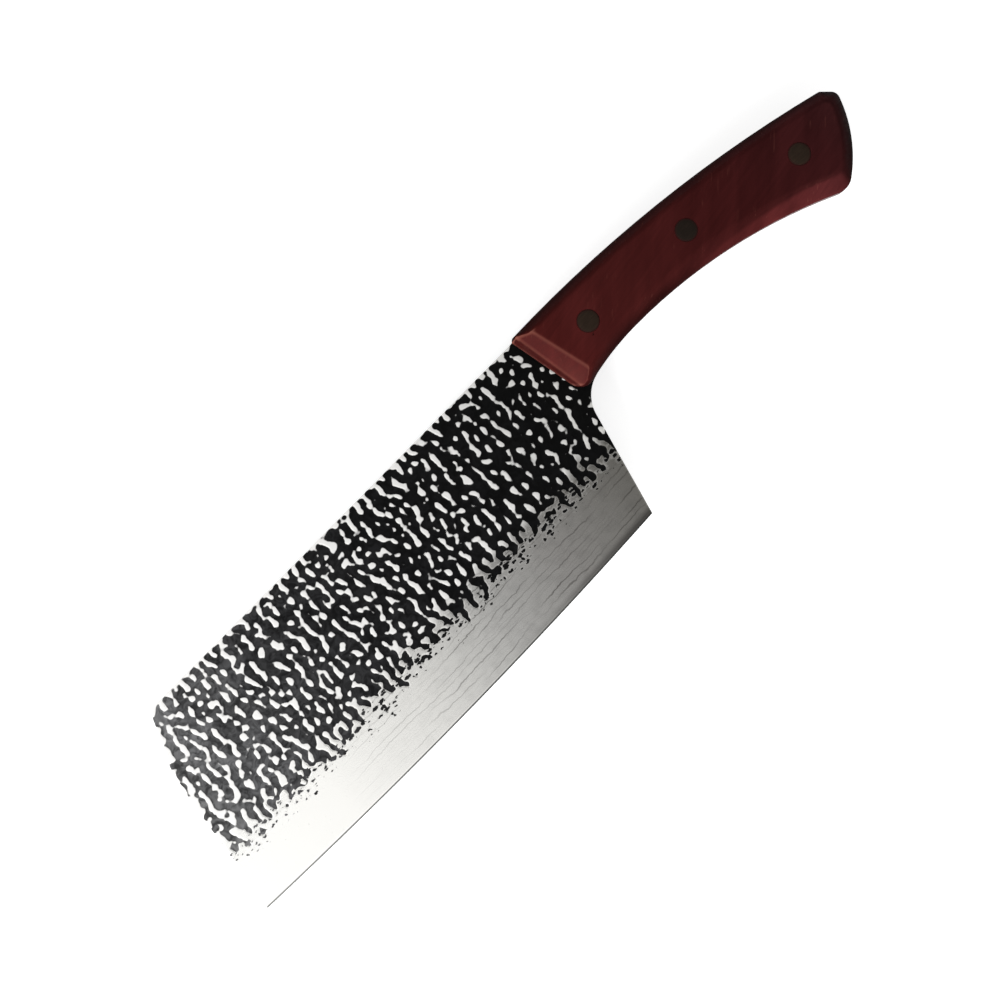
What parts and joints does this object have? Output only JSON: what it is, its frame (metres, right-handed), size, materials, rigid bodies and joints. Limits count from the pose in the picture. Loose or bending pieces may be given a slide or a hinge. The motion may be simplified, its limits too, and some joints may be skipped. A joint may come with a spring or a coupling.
{
  "type": "nakiri kitchen knife",
  "caption": "Tall straight-edged kitchen knife with a clipped nose, a full tang, faceted wooden handle scales and flush two-part rivets.",
  "frame": {"origin": "centre of the box in plan, on the plane the knife lies on", "axes": "+X along the knife from the nose to the butt of the handle, +Y from the cutting edge to the spine, +Z from the right side, which it lies on, up to the left side"},
  "size_m": [0.319, 0.0754, 0.0214],
  "materials": {
    "forged_steel": "hammered black forge scale on the flats, polished bevel",
    "red_wood": "dark red-brown wood, oiled and polished",
    "blackened_steel": "blackened, sanded flush with the wood",
    "dark_epoxy": "thin cured film, seen only as a line"
  },
  "bodies": {
    "root": {"blade": "forged_steel", "epoxy_bed_left": "dark_epoxy", "epoxy_bed_right": "dark_epoxy", "handle_scale_left": "red_wood", "handle_scale_right": "red_wood", "rivet_socket_front": "blackened_steel", "rivet_pin_front": "blackened_steel", "rivet_socket_middle": "blackened_steel", "rivet_pin_middle": "blackened_steel", "rivet_socket_rear": "blackened_steel", "rivet_pin_rear": "blackened_steel"}
  },
  "joints": []
}
